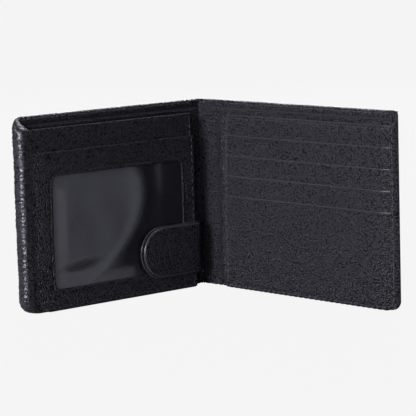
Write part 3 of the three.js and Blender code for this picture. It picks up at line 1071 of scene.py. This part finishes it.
def edge_wrinkles(c, z):
    """The folded edge stands out in a soft roll, drawn into short creases across it."""
    away = abs(c - EDGE_MIDDLE)
    roll = EDGE_BULGE * max(0.0, 1 - (away / (EDGE_LENGTH / 2)) ** 2)
    inside = 1 - away / (EDGE_LENGTH / 2 + 5)
    if inside <= 0:
        return 0.0
    creases = wrinkle(c, z, 4.5, 1.0, 0.27) + wrinkle(c, z, 7.0, 3.0, 0.1) + wrinkle(c, z, 9.0, 14.0, 0.3)
    return smooth(inside * 1.6) * creases - roll


def build_edge_and_flap():
    """The outer leather round the edge and over the flap, in two pieces that meet in the edge's middle."""
    flap_u, _, _ = LEFT.extent("flap_shell")
    flap_end = EDGE_CENTRE + EDGE_LENGTH + (EDGE_CENTRE - flap_u[0])
    fine_end = EDGE_CENTRE + EDGE_LENGTH + 8
    back_columns = ladder(LEFT_STOP, EDGE_MIDDLE, FINE_STEP / 2, False, False)
    heights = (0, SHELL_THICKNESS)
    edge = sheet("outer_edge", round_edge, back_columns, edge_span, heights, LEATHER, (False, False),
                 edge_wrinkles, CREASE_STEP)
    front_columns = ladder(EDGE_MIDDLE, fine_end, FINE_STEP / 2, False, False)
    front_columns += ladder(fine_end, flap_end, STEP, False, True)[1:]
    flap = sheet("flap_leather", round_edge, front_columns, edge_span, heights, LEATHER, (False, True),
                 edge_wrinkles, CREASE_STEP)
    for piece in (edge, flap):
        store(piece, STRAIN, lambda u, z: smooth((u - EDGE_CENTRE) / STRAIN_REACH + 1))
    out = EDGE_CENTRE + EDGE_RADIUS
    settle(edge, "leather", ("shell_edge",), "left_half", "flap_edge",
           LEFT.at(out - 5, 0, 0), LEFT.at(out, 2.6, 0))
    settle(flap, "leather", ("flap_shell",), "flap_edge", "flap",
           LEFT.at(out, FLAP_FACE - 2.6, 0), LEFT.at(out - 5, FLAP_FACE, 0))


def film_share(u, z):
    """Place in the window: 0 to 1 from the spine outwards, and 0 to 1 upwards."""
    (u0, u1), (z0, z1) = WINDOW
    return (u - u0) / (u1 - u0), (z - z0) / (z1 - z0)


def film_ridge(sz):
    """Where across the window the film's long S-shaped fold runs."""
    below = max(0.0, RIDGE_TURN - sz)
    above = max(0.0, sz - RIDGE_TURN)
    return RIDGE_NEAREST + 0.66 * below ** 2 + 0.9 * above ** 2


def film_dimple(su, sz):
    """1 in the flat hollow near the film's lower outer corner."""
    across, up = su - DIMPLE_PLACE[0], sz - DIMPLE_PLACE[1]
    return 1 - smooth(math.hypot(across / DIMPLE_SIZE[0], (up + 0.18 * across) / DIMPLE_SIZE[1]) - 0.4)


def film_streak(su, sz, width):
    """1 along a narrow upright ripple beside the window's spine side."""
    return math.exp(-((su - STREAK_PLACE - 0.05 * sz) / width) ** 2)


def film_painted_reflection(u, z):
    """Painted reflection on the film, strongest where it stands off its backing: past its fold, at its foot
    and along the streak.
    """
    su, sz = film_share(u, z)
    past = su - film_ridge(sz)
    light = smooth(past / 0.1 + 0.5)
    foot = 0.8 * smooth((0.13 - sz) / 0.07) * smooth((su - 0.36) / 0.06)
    streak = 0.5 * film_streak(su, sz, 0.03) * smooth((sz - 0.6) / 0.3)
    light = max(light, foot, streak)
    # painted highlight along the fold's outer side
    light += 0.22 * math.exp(-((past - 0.06) / 0.04) ** 2) * smooth(sz / 0.3)
    return max(0.0, light * (0.82 + wrinkle(u, z, 14, 20, 0.14)) * (1 - 0.75 * film_dimple(su, sz)))


def film_wave(u, z):
    """The film stands off its backing in one broad wave that falls away at an S-shaped fold."""
    (u0, u1), (z0, z1) = WINDOW
    su, sz = film_share(u, z)
    past = su - film_ridge(sz)
    hold = smooth((u - u0) / 9) * smooth((u1 - u) / 9) * smooth((z - z0) / 9) * smooth((z1 - z) / 9)
    crest = 0.45 * math.exp(-(past / 0.07) ** 2)
    body = smooth(past / 0.12 + 0.5) * (0.75 - 0.4 * su)
    streak = 0.3 * film_streak(su, sz, 0.035)
    return hold * (0.15 + body + crest + streak + wrinkle(u, z, 13, 26, 0.22) - 0.35 * film_dimple(su, sz))


def store(piece, name, value):
    """Keeps value(u, z) on a flap piece's vertices for its material to read."""
    attribute = piece.data.attributes.new(name, "FLOAT", "POINT")
    for vertex in piece.data.vertices:
        away = vertex.co - LEFT.corner
        attribute.data[vertex.index].value = value(away.dot(LEFT.along) / MM, away.z / MM)


def build_window():
    """The window's film and the leather frame round it, which is also a pocket with its mouth at the top."""
    u, h, z = LEFT.extent("window_film")
    film = ring_sheet("clear_film", LEFT.at, u, z, (2, 2, 2, 2), h, (FILM, FILM), film_wave, side_step=0.9)
    # the film carries its painted reflection for its material to read
    store(film, PAINTED_REFLECTION_ATTRIBUTE, film_painted_reflection)
    settle(film, "film", ("window_film",), "flap")
    u, h, z = LEFT.extent("window_pocket")
    hole_reach = WINDOW[0][0] - u[0]

    def skive(cu):
        return max(0.08, smooth((u[1] - cu) / SKIVE))

    def crease(t, cz):
        bead = creased(t) if cz < WINDOW[1][1] + 4 else creased(min(t, z[1] - cz))
        return bead if t < hole_reach / 2 or cz > z[1] - 6 else 0.0

    pocket = frame_sheet("window_frame", flap_at, WINDOW, (WINDOW_CORNER,) * 4, (u, z), (0.5, 5.0, 1.5, 0.5),
                         h, TRIM, crease, skive)
    settle(pocket, "leather_trim", ("window_pocket",), "flap")


def build_flap_back():
    """The flap's lining, which faces the left half's slots."""
    u, h, z = LEFT.extent("flap_lining")
    back = ring_sheet("flap_back", flap_at, u, z, (0.5, 2, 2, 0.5), h, (CLOTH, EDGE_PAINT))
    settle(back, "lining", ("flap_lining",), "flap")


# ---------------------------------------------------------------- tab

TAB_LINING = 0.6            # thickness of the tab's two leathers
TAB_OUTER = 1.1
TAB_GAP = 0.05              # from each of them to the seam line that the tab's route follows
TAB_FOOT_BEND, TAB_TOP_BEND = 1.6, 2.2
TAB_PADDING = 0.35          # the tab's middle stands this much above its edge
(TAB_FOOT, TAB_TIP), (TAB_LOW, TAB_HIGH), TAB_Z = LEFT.extent("tab_lining")
(_, OUTER_TIP), _, OUTER_Z = LEFT.extent("tab_outer")
TAB_RISER = (P["pivots"]["tab_lift"] - LEFT.corner).dot(LEFT.along) / MM
TAB_START = (TAB_FOOT, TAB_LOW + TAB_LINING + TAB_GAP)
TAB_SEAM = TAB_HIGH + TAB_GAP
TAB_LEGS = (
    (0, TAB_RISER - TAB_FOOT_BEND - TAB_FOOT),
    (1, TAB_FOOT_BEND),
    (0, TAB_SEAM - TAB_TOP_BEND - TAB_START[1] - TAB_FOOT_BEND),
    (-1, TAB_TOP_BEND),
    (0, math.inf),
)


def tab_at(c, offset, z):
    """A point of the tab: c runs from the foot's end, up beside the flap's edge, then along the flap."""
    u, h = along_route(TAB_START, TAB_LEGS, c, offset)
    return LEFT.at(u, h, z)


def tab_leather(name, node_name, tip, z, heights, **face):
    """One of the tab's leathers, with a round tip. heights are measured from the seam line."""
    length = sum(leg_length(*leg) for leg in TAB_LEGS[:-1]) + tip - TAB_RISER - TAB_TOP_BEND
    tip_radius = (z[1] - z[0]) / 2
    piece = ring_sheet(name, tab_at, (0, length), z, (0.5, tip_radius, tip_radius, 0.5), heights,
                       (LEATHER, EDGE_PAINT), side_step=1.0, **face)
    settle(piece, "leather", (node_name,), "left_half", "tab", LEFT.at(0, TAB_START[1], 0),
           LEFT.at(0, TAB_SEAM - TAB_TOP_BEND, 0))


def build_tab():
    """The tab that holds the flap shut: a lining and a padded outer leather."""
    def padded(distance, c, z):
        return TAB_PADDING * (1 - math.exp(-distance / 2.5)) + creased(distance, inset=2.2)

    tab_leather("tab_back", "tab_lining", TAB_TIP, TAB_Z, (-TAB_GAP - TAB_LINING, -TAB_GAP))
    tab_leather("tab_front", "tab_outer", OUTER_TIP, OUTER_Z, (TAB_GAP, TAB_GAP + TAB_OUTER),
                crease=padded, round_over=1.4)


# ---------------------------------------------------------------- stitching

def build_stitching():
    """All the rows of stitches. The hem's row is in three parts, one on each panel."""
    hem_top = layer(RIGHT, "thread_hem_right")[0]
    hem_z = sum(RIGHT.extent("thread_hem_right")[2]) / 2
    hem_rows = (
        ("left", ("thread_hem_left",), "left_half", LEFT.at, 2 * STITCH_PITCH, LEFT_STOP - 1),
        ("spine", (), "spine", SPINE.at, STITCH_PITCH, SPINE_WIDTH - STITCH_PITCH),
        ("right", ("thread_hem_right",), "right_half", right_at, STITCH_PITCH, HALF_WIDTH - 3.0),
    )
    for side, replaced, body, place, start, end in hem_rows:
        stitch_row(f"hem_stitches_{side}", replaced, body, place, [(start, hem_z), (end, hem_z)],
                   lambda c, z: hem_top)
    build_right_stitches()
    build_flap_stitches()
    foot_u, foot_h, foot_z = LEFT.extent("thread_tab_foot")
    column = sum(foot_u) / 2
    stitch_row("tab_foot_stitches", ("thread_tab_foot",), "left_half", LEFT.at,
               [(column, foot_z[0]), (column, foot_z[1])], lambda c, z: foot_h[0] - 0.08)


def build_right_stitches():
    """Stitches round the right half's turned edge, down the pockets' spine side and along the first mouth."""
    (start, _), _, (_, head) = RIGHT.extent("thread_right_rim")
    reach = RIGHT_CORNER - STITCH_INSET
    end = HALF_WIDTH - STITCH_INSET
    path = [(start, STITCH_INSET)]
    for i in range(9):
        angle = math.radians(-90 + 90 * i / 8)
        path.append((end - reach + reach * math.cos(angle), STITCH_INSET + reach + reach * math.sin(angle)))
    path.append((end, head))
    top = layer(RIGHT, "shell_right")[1]

    def face(u, z):
        turn = smooth((z - STITCH_INSET) / reach) if u > end - reach else 0.0
        return rim_face(top, turn, STITCH_INSET) + 0.05

    stitch_row("rim_stitches_right", ("thread_right_rim",), "right_half", right_at, path, face)
    (pocket_start, pocket_end), _, (_, mouth) = RIGHT.extent("right_card_pocket_1")
    column = pocket_start + STITCH_INSET * 0.7
    stitch_row("pocket_stitches_right", (), "right_half", right_at, [(column, 3.0), (column, mouth - 1)],
               pocket_top)
    row = mouth - STITCH_INSET
    stitch_row("mouth_stitches_right", (), "right_half", right_at, [(column + 2, row), (pocket_end - 1, row)],
               lambda u, z: pocket_top(u, z) + pocket_wave(u, z))


def build_flap_stitches():
    """Stitches down the flap's spine side and along its foot."""
    (start, end), _, (foot, _) = LEFT.extent("thread_flap")
    column, row = start + THREAD_HALF, foot + THREAD_HALF
    path = [(column, FLAP_Z[1] - STITCH_INSET), (column, row + 1), (column + 1, row), (end, row)]
    _, (_, frame_face), (_, frame_mouth) = LEFT.extent("window_pocket")

    def face(c, z):
        return (frame_face if z < frame_mouth else FLAP_FACE) - 0.14

    stitch_row("flap_stitches", ("thread_flap",), "flap", LEFT.at, path, face)


def pocket_top(u, z):
    """Height of the card pockets' stepped face at z."""
    height = 0.0
    for i in range(1, 6):
        _, h, (_, mouth) = RIGHT.extent(f"right_card_pocket_{i}")
        if z < mouth:
            height = h[1]
    return height


# ---------------------------------------------------------------- stage

PAPER_TONE = (0.925, 0.925, 0.925, 1)
PAPER_GLOW = 0.975          # share of the paper's look that is an even glow; the rest shows contact shadows
STAGE_RADIUS = 4.0          # the stage, the lights and the camera are in metres
STAGE_SWEEP = 1.0
STAGE_HEIGHT = 4.0
SWEEP_STEPS = 12
ROUND_STEPS = 48
COOL = (0.93, 0.92, 1.0)
LIGHT_TARGET = (0, -0.04, 0.045)
LIGHTS = (                  # name, place, (width, height), watts
    ("key", (-0.70, -0.84, 0.36), (0.55, 0.36), 15.5),
    ("front", (-0.12, -1.2, 0.13), (0.10, 0.3), 2.5),
    ("rim_strip", (0.9, 0.15, 0.09), (0.1, 0.16), 1.2),
    ("overhead", (0.1, 0.15, 1.0), (0.4, 0.3), 5.5),
    ("behind", (0.1, 1.1, 0.55), (0.7, 0.5), 16.0),
)
AMBIENT = 0.03
CAMERA_AZIMUTH, CAMERA_ELEVATION, CAMERA_ROLL = 0.55, 7.55, -1.57
CAMERA_TARGET = (0, -0.03, 0.0465)
CAMERA_DISTANCE = 1.0697
CAMERA_LENS = 190.4
CAMERA_SHIFT = (-0.0094, -0.0204)


def paper_material():
    """Pale paper: mostly an even glow to the camera, with a trace of contact shadow, and a mild bounce."""
    s = Surface("floor_paper")
    s.finish(Base_Color=(0.28, 0.28, 0.29, 1), Roughness=0.95, Specular_IOR_Level=0.1,
             Normal=s.bump(s.noise(300.0, 4.0), 0.2, 0.1))
    glow = s.add("Emission", {"Color": PAPER_TONE, "Strength": 1.0})
    seen = s.product(s.add("LightPath", {}, "Is Camera Ray"), PAPER_GLOW)
    both = s.add("MixShader", {"Fac": seen, 1: s.nodes["Principled BSDF"].outputs[0], 2: glow})
    s.feed(s.nodes["Material Output"].inputs["Surface"], both)
    return s.material


def build_stage():
    """A floor that sweeps up into a backdrop all round, so that every view has a plain pale background."""
    profile = [(0.0, 0.0)]
    centre = STAGE_RADIUS - STAGE_SWEEP
    for i in range(SWEEP_STEPS + 1):
        angle = math.pi / 2 * i / SWEEP_STEPS
        profile.append((centre + STAGE_SWEEP * math.sin(angle), STAGE_SWEEP * (1 - math.cos(angle))))
    profile.append((STAGE_RADIUS, STAGE_HEIGHT))
    bm = bmesh.new()
    rows = []
    for i in range(ROUND_STEPS):
        angle = 2 * math.pi * i / ROUND_STEPS
        rows.append([bm.verts.new((r * math.cos(angle), r * math.sin(angle), z)) for r, z in profile])
    grid_faces(bm, rows, closed=True)
    finish_mesh("floor", bm, paper_material())


def build_lights():
    """A softbox at the front left, a low light in front, a strip at the right, one above and one behind."""
    for name, place, size, power in LIGHTS:
        data = bpy.data.lights.new(name, "AREA")
        data.shape = "RECTANGLE"
        data.size, data.size_y = size
        data.energy = power
        data.color = COOL
        lamp = bpy.data.objects.new(name, data)
        bpy.context.scene.collection.objects.link(lamp)
        lamp.location = place
        lamp.rotation_euler = (Vector(place) - Vector(LIGHT_TARGET)).to_track_quat("Z", "Y").to_euler()


def build_world():
    """Dim cool light from all round, and the paper's tone where the camera sees past the stage."""
    world = bpy.data.worlds.new("studio")
    bpy.context.scene.world = world
    world.use_nodes = True
    nodes, links = world.node_tree.nodes, world.node_tree.links
    dim = nodes["Background"]
    dim.inputs["Color"].default_value = (0.95, 0.96, 1.0, 1)
    dim.inputs["Strength"].default_value = AMBIENT
    seen = nodes.new("ShaderNodeBackground")
    seen.inputs["Color"].default_value = PAPER_TONE
    mix = nodes.new("ShaderNodeMixShader")
    links.new(nodes.new("ShaderNodeLightPath").outputs["Is Camera Ray"], mix.inputs["Fac"])
    links.new(dim.outputs[0], mix.inputs[1])
    links.new(seen.outputs[0], mix.inputs[2])
    links.new(mix.outputs[0], nodes["World Output"].inputs["Surface"])
    bpy.context.scene.view_settings.view_transform = "Standard"


def build_camera():
    """The photographer's view: almost square on to the fold and a little above it, through a long lens."""
    azimuth, elevation, roll = (math.radians(a) for a in (CAMERA_AZIMUTH, CAMERA_ELEVATION, CAMERA_ROLL))
    level = Vector((-math.sin(azimuth), math.cos(azimuth), 0))
    forward = level * math.cos(elevation) - Vector((0, 0, math.sin(elevation)))
    right = forward.cross(Vector((0, 0, 1))).normalized()
    up = right.cross(forward)
    across = right * math.cos(roll) + up * math.sin(roll)
    upward = up * math.cos(roll) - right * math.sin(roll)
    data = bpy.data.cameras.new("camera")
    data.sensor_width = 36
    data.lens = CAMERA_LENS
    data.shift_x, data.shift_y = CAMERA_SHIFT
    camera = bpy.data.objects.new("camera", data)
    bpy.context.scene.collection.objects.link(camera)
    turn = Matrix((across, upward, -forward)).transposed().to_4x4()
    camera.matrix_world = Matrix.Translation(Vector(CAMERA_TARGET) - forward * CAMERA_DISTANCE) @ turn
    bpy.context.scene.camera = camera


# ---------------------------------------------------------------- assembly

def paint(node_name, material):
    """A CAD node that keeps its shape gets its finished material."""
    for slot in frame["nodes"][node_name].material_slots:
        slot.material = material


build_spine_leathers()
build_right_rim()
build_left_rim()
build_hems()
build_pockets()
build_edge_and_flap()
build_window()
build_flap_back()
build_tab()
build_stitching()
paint("flap_stiffener", BOARD)
paint("flap_magnet", PLATED)
paint("tab_magnet", PLATED)
build_stage()
build_lights()
build_world()
build_camera()
